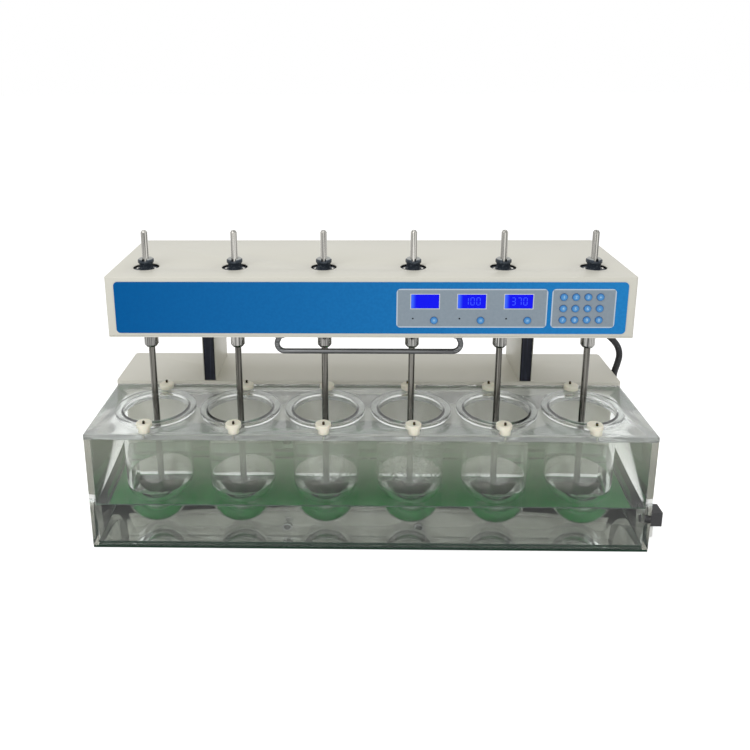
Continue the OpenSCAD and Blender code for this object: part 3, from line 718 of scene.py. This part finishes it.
lit_display = Finish("lit_display", Base_Color=(0, 0, 0.04), Roughness=0.3, Emission_Strength=1.0,
                     Specular_IOR_Level=0.08)
x, y, z = lit_display.millimetres()
glow = 1 - (beside_display(x) + LCD_HALF[0]).step(0, GLOW_W)
speck = lit_display.noise(700, 2)
lit = lit_display.mix(speck, ink(0, 2, 226), ink(10, 18, 246))
lit_display.set(Emission_Color=lit_display.mix(glow * 0.5, lit, ink(90, 150, 255)))
wear(lit_display, "displays")
print("film and displays")

# %% [markdown]
# ## Readings on the displays
# Each figure is made of seven bars, switched by a letter. The first display is lit but shows nothing, and the
# other two show a stirring speed and a bath temperature. Bars are blocks a hair proud of the display, so
# they need no picture.

# %% Seven-bar figures
BARS = {"a": (0, 1), "b": (0.5, 0.5), "c": (0.5, -0.5), "d": (0, -1), "e": (-0.5, -0.5), "f": (-0.5, 0.5),
        "g": (0, 0)}
FIGURES = {"0": "abcdef", "1": "bc", "3": "abcdg", "7": "abc"}
FIGURE_W, FIGURE_H, FIGURE_STEP, FIGURE_SHIFT = 5, 11, 8.6, 1
BAR_W, BAR_END, BAR_PROUD, BAR_SUNK = 1.0, 0.6, 0.06, 0.02
READINGS = {0: ("1", "0", "0"), 1: ("3", "7", "0")}
display_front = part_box("displays")[0].y / MM
figures = bmesh.new()
for k, reading in READINGS.items():
    for place, figure in enumerate(reading):
        middle = LCD_X + k * LCD_PITCH + (place - 1) * FIGURE_STEP + FIGURE_SHIFT
        for bar in FIGURES[figure]:
            across, up = BARS[bar]
            half_x = BAR_W / 2 if across else FIGURE_W / 2 - BAR_END
            half_z = FIGURE_H / 4 - BAR_END if across else BAR_W / 2
            at_x, at_z = middle + across * FIGURE_W, LCD_Z + up * FIGURE_H / 2
            block((at_x - half_x, display_front - BAR_PROUD, at_z - half_z),
                  (at_x + half_x, display_front + BAR_SUNK, at_z + half_z), figures)
figure_piece = settle("display_figures", figures, "head")
figure_ink = Finish("figure_ink", Base_Color=ink(10, 20, 120), Roughness=0.4, Emission_Strength=1.0,
                    Specular_IOR_Level=0.08)
shimmer = figure_ink.noise(400, 2)
figure_ink.set(Emission_Color=figure_ink.mix(shimmer, ink(40, 66, 246), ink(84, 112, 255)))
wear(figure_ink, figure_piece)
print("figures:", len(figure_piece.data.polygons), "faces")

# %% [markdown]
# ## Keys
# Fifteen small domed keys stand out of the fields. Wrapping the place by the keys' pitch gives every key the
# same painted highlight in its centre and painted shade in its ring from one material. Each key carries a
# plain figure or sign that moves with it.

# %% Key colours and figures
KEY_STEP, KEY_R, KEYPAD_X = 17.5, 5.5, 282
FUNCTION_X, FUNCTION_Z, FUNCTION_ROOM = 95, 368, 40
SIGN_T, SIGN_PROUD = 0.03, 0.01


def key_colour(name, first_x, pitch_x, first_z, pitch_z):
    finish = Finish(name, Roughness=0.45, Specular_IOR_Level=0.25)
    x, y, z = finish.millimetres()
    across, up = (x - first_x).wrap(pitch_x), (z - first_z).wrap(pitch_z)
    radius = (across * across + up * up).maths("SQRT")
    # A lighter centre is a painted highlight on the dome, and a darker ring is painted shade round its edge.
    tint = finish.mix(radius.step(0, KEY_R * 0.8), ink(92, 158, 212), ink(54, 130, 196))
    tint = finish.mix(radius.step(KEY_R * 0.76, KEY_R * 0.9), tint, ink(26, 96, 162))
    grain = finish.noise(900, 2)
    finish.set(Base_Color=finish.mix(grain * 0.2, tint, ink(150, 196, 230)),
               Normal=finish.bump(grain, 0.0001, 0.2))
    return finish


keypad_blue = key_colour("keypad_blue", KEYPAD_X, KEY_STEP, PANEL_Z, KEY_STEP)
wear(keypad_blue, *[f"keypad_key_{k}" for k in range(1, 13)])
function_blue = key_colour("function_blue", FUNCTION_X, LCD_PITCH, FUNCTION_Z, FUNCTION_ROOM)
wear(function_blue, *[f"function_key_{k}" for k in range(1, 4)])
key_ink = Finish("key_ink", Roughness=0.5, Specular_IOR_Level=0.2)
key_ink.set(Base_Color=key_ink.mix(key_ink.noise(800, 2), ink(164, 198, 226), ink(196, 220, 238)))


def key_figure(node, sign, size):
    """A thin flat figure on the front of a key."""
    low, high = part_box(node)
    letters = bpy.data.curves.new("sign", "FONT")
    letters.body, letters.size, letters.extrude = sign, size * MM, SIGN_T * MM
    letters.align_x, letters.align_y = "CENTER", "CENTER"
    holder = bpy.data.objects.new("sign", letters)
    work = bmesh.new()
    work.from_mesh(bpy.data.meshes.new_from_object(holder))
    bpy.data.objects.remove(holder)
    bmesh.ops.remove_doubles(work, verts=work.verts, dist=SAME_POINT / 10)
    middle = (low + high) / 2
    bmesh.ops.rotate(work, verts=work.verts, cent=(0, 0, 0), matrix=Matrix.Rotation(math.pi / 2, 3, "X"))
    bmesh.ops.translate(work, verts=work.verts, vec=(middle.x, low.y - SIGN_PROUD * MM, middle.z))
    piece = settle(f"{node}_sign", work, node)
    wear(key_ink, piece)


for k, sign in enumerate("123+456-7890", 1):
    key_figure(f"keypad_key_{k}", sign, 6.5)
for k in range(1, 4):
    key_figure(f"function_key_{k}", "=", 7)
print("keys: 15 with signs")

# %% [markdown]
# ## Bright metal
# Drawn bar has fine lines along its length, bumped by a noise that is stretched along the bar. The dark and
# bright stripes that a thin rod shows are painted reflections in its colour, from a second such noise.

# %% Rods, handle, posts and bearings
HEAD_TOP, HIGHLIGHT_REACH = 433, 14
UPRIGHT, CROSSWISE, EVEN = (1, 1, 0.004), (0.004, 1, 1), (1, 1, 1)


def drawn_steel(name, along, dark, light, rough, top_highlight=None):
    """Drawn bar, with painted reflections as stripes. Its upper end may have a painted highlight, a lighter
    shade above the head, where it stands in full light.
    """
    finish = Finish(name, Metallic=1.0)
    # Painted highlight: the bar is lighter above the head, where it stands in full light.
    if top_highlight:
        light = finish.mix(finish.millimetres()[2].step(HEAD_TOP, HEAD_TOP + HIGHLIGHT_REACH), light, top_highlight)
    # Painted reflections: dark and bright stripes in the colour, while the fine lines only bump the surface.
    reflection_stripe, line = finish.noise(900, 2, along), finish.noise(2400, 2, along)
    tint = finish.mix(reflection_stripe.step(0.3, 0.66), dark, light)
    finish.set(Base_Color=tint, Roughness=line * 0.16 + rough, Normal=finish.bump(line, 0.00005, 0.25))
    return finish


# The last colour is the rods' painted highlight above the head.
rod_steel = drawn_steel("rod_steel", UPRIGHT, ink(54, 53, 50), ink(126, 124, 118), 0.16, ink(204, 202, 196))
for k in range(1, STATIONS + 1):
    wear(rod_steel, soften(f"stirrer_{k}", f"stirrer_{k}_drawn", f"stirrer_{k}", 0.9))
wear(drawn_steel("handle_steel", CROSSWISE, ink(48, 49, 50), ink(116, 117, 118), 0.32), "lift_handle")
wear(drawn_steel("post_steel", UPRIGHT, ink(120, 120, 122), ink(214, 214, 214), 0.2), "lift_posts")
wear(drawn_steel("bearing_steel", EVEN, ink(130, 130, 132), ink(200, 200, 202), 0.3), "spindle_bearings",
     "circulation_heater")
wear(drawn_steel("pulley_steel", EVEN, ink(150, 150, 150), ink(205, 205, 205), 0.3), "motor_pulley")
print("bright metal")

# %% [markdown]
# ## Spindles
# The lower end of a spindle is bright steel, with painted reflections as dark and bright stripes. The chuck
# on top is dark, blackened steel, with a painted highlight along its top edge. Two bright screws hold its
# disc, and they turn with it.

# %% Spindle finish and disc screws
CHUCK_Z, CHUCK_TOP, DISC_TOP, SCREW_REACH = 425.8, 447, 430, 12.9
DOME_R, DOME_DROP, DOME_FOOT_R, DOME_SUNK = 3.2, 1.4, 2.62, 0.3
spindle_steel = Finish("spindle_steel", Specular_IOR_Level=0.5)
height = spindle_steel.millimetres()[2]
line = spindle_steel.noise(900, 2, UPRIGHT)
blackened = height.step(CHUCK_Z - 0.2, CHUCK_Z)
# Painted highlight along the chuck's top edge.
chuck_top_highlight = height.step(CHUCK_TOP - 1.6, CHUCK_TOP - 0.6)
scuff = spindle_steel.noise(300, 4)
# Painted reflections: dark and bright stripes on the bright steel.
bright = spindle_steel.mix(line.step(0.36, 0.62), ink(60, 60, 59), ink(176, 175, 171))
slate = spindle_steel.mix(scuff.step(0.5, 0.75), ink(48, 56, 66), ink(92, 100, 108))
slate = spindle_steel.mix(chuck_top_highlight * 0.8, slate, ink(176, 178, 174))
spindle_steel.set(Base_Color=spindle_steel.mix(blackened, bright, slate), Metallic=1 - blackened * 0.55,
                  Roughness=blackened * (scuff * 0.2 + 0.16) + 0.18)
for k in range(1, STATIONS + 1):
    wear(spindle_steel, soften(f"spindle_{k}", f"spindle_{k}_turned", f"spindle_{k}", 0.7))

screw_steel = Finish("screw_steel", Metallic=1.0)
brushed = screw_steel.noise(900, 3)
screw_steel.set(Base_Color=screw_steel.mix(brushed, ink(168, 166, 160), ink(214, 212, 206)),
                Roughness=brushed * 0.2 + 0.2)
screw_dome = (arc((0, DISC_TOP - DOME_DROP), DOME_R, 90, 35, 8)
              + [(DOME_FOOT_R, DISC_TOP - DOME_SUNK), (0, DISC_TOP - DOME_SUNK)])
for k, x in enumerate(station_x, 1):
    screws = bmesh.new()
    for side in (-1, 1):
        turn(screw_dome, 32, (x + side * SCREW_REACH, 0), screws)
    wear(screw_steel, settle(f"spindle_{k}_screws", screws, f"spindle_{k}"))
print("spindles:", STATIONS)

# %% [markdown]
# ## Vessel cams
# The cams are turned cream nylon. Nylon is waxy: soft highlights and a warm shade that changes a little from
# one turning line to the next. Each turns on a dark screw with a slot.

# %% Cams and their screws
cream_nylon = Finish("cream_nylon", Specular_IOR_Level=0.45, Subsurface_Weight=0.12, Subsurface_Scale=0.002)
mottle, line = cream_nylon.noise(120, 3), cream_nylon.noise(600, 2, (0.15, 0.15, 4))
cream_nylon.set(Base_Color=cream_nylon.mix(mottle, ink(228, 224, 203), ink(241, 238, 222)),
                Roughness=mottle * 0.15 + 0.36, Normal=cream_nylon.bump(line, 0.0001, 0.25))
dark_screw = Finish("dark_screw", Metallic=0.9)
tarnish = dark_screw.noise(500, 3)
dark_screw.set(Base_Color=dark_screw.mix(tarnish.step(0.45, 0.7), ink(42, 40, 34), ink(120, 106, 66)),
               Roughness=tarnish * 0.25 + 0.3)
CAM_Y, CAM_TOP = 73, 207.5
SCREW_R, SCREW_H, SCREW_SUNK, SCREW_EDGE = 1.9, 4.2, 1.6, 0.3
SLOT_HALF, SLOT_DEEP, SLOT_REACH = 0.45, 1.4, 1.4


def slotted_screw(work, at):
    """A round stud with a slot in its top."""
    top = CAM_TOP + SCREW_H
    turn([(0, top), (SCREW_R - SCREW_EDGE, top), (SCREW_R, top - SCREW_EDGE),
          (SCREW_R, CAM_TOP - SCREW_SUNK), (0, CAM_TOP - SCREW_SUNK)], 32, mesh_work=work)
    for normal, reach in (((1, 0, 0), SLOT_HALF), ((0, 1, 0), SLOT_REACH)):
        for side in (-1, 1):
            plane = Vector(normal) * (side * reach * MM)
            bmesh.ops.bisect_plane(work, geom=work.verts[:] + work.edges[:] + work.faces[:],
                                   dist=SAME_POINT / 10, plane_co=plane, plane_no=normal)
    floor_faces = [f for f in work.faces if abs(f.calc_center_median().z / MM - top) < 0.01
                   and abs(f.calc_center_median().x) < SLOT_HALF * MM
                   and abs(f.calc_center_median().y) < SLOT_REACH * MM]
    sunk = bmesh.ops.extrude_face_region(work, geom=floor_faces)["geom"]
    bmesh.ops.delete(work, geom=floor_faces, context="FACES")
    bmesh.ops.translate(work, verts=[g for g in sunk if isinstance(g, bmesh.types.BMVert)],
                        vec=(0, 0, -SLOT_DEEP * MM))
    bmesh.ops.translate(work, verts=work.verts, vec=(at[0] * MM, at[1] * MM, 0))
    return work


for side, y in (("front", -CAM_Y), ("rear", CAM_Y)):
    for k, x in enumerate(station_x, 1):
        cam = f"{side}_cam_{k}"
        wear(cream_nylon, soften(cam, cam + "_turned", cam, 0.8))
        wear(dark_screw, settle(f"{cam}_screw", slotted_screw(bmesh.new(), (x, y)), cam))
print("cams: 12 with screws")

# %% [markdown]
# ## Small parts
# What is left is plastic, rubber and painted metal in small areas. One function gives each its two shades,
# its grain and its gloss.


# %% Strips, drain, inlet and drive
def plain(name, dark, light, grain, rough, bump=0.0001, metallic=0.0):
    finish = Finish(name, Metallic=metallic)
    speck = finish.noise(grain, 3)
    finish.set(Base_Color=finish.mix(speck, dark, light), Roughness=speck * 0.2 + rough,
               Normal=finish.bump(speck, bump, 0.4))
    return finish


STRIP_X, STRIP_HALF, SPOUT_TOP = 271.5, 9.25, 31
strip_navy = Finish("strip_navy", Roughness=0.42, Specular_IOR_Level=0.25)
x, y, z = strip_navy.millimetres()
edge = abs(abs(x) - STRIP_X).step(STRIP_HALF - 2.2, STRIP_HALF - 1.6)
scratch = strip_navy.noise(300, 3, (1, 1, 0.05))
navy = strip_navy.mix(scratch.step(0.55, 0.7), ink(24, 27, 40), ink(44, 48, 64))
strip_navy.set(Base_Color=strip_navy.mix(edge, navy, ink(14, 14, 17)))
wear(strip_navy, "column_strips")

drain_plastic = Finish("drain_plastic", Roughness=0.45)
grain = drain_plastic.noise(700, 3)
spout = 1 - drain_plastic.millimetres()[2].step(SPOUT_TOP - 0.2, SPOUT_TOP)
black = drain_plastic.mix(grain, ink(18, 18, 20), ink(40, 40, 43))
drain_plastic.set(Base_Color=drain_plastic.mix(spout, black, ink(224, 224, 220)),
                  Normal=drain_plastic.bump(grain, 0.0002, 0.4))
wear(drain_plastic, "drain_fitting")
wear(plain("inlet_plastic", ink(20, 20, 22), ink(44, 44, 47), 800, 0.4), "mains_inlet")
wear(plain("belt_rubber", ink(16, 16, 17), ink(36, 36, 38), 1200, 0.6, 0.0003), "drive_belts")
wear(plain("motor_grey", ink(62, 64, 68), ink(86, 88, 92), 500, 0.4, metallic=0.3), "drive_motor")
print("small parts")
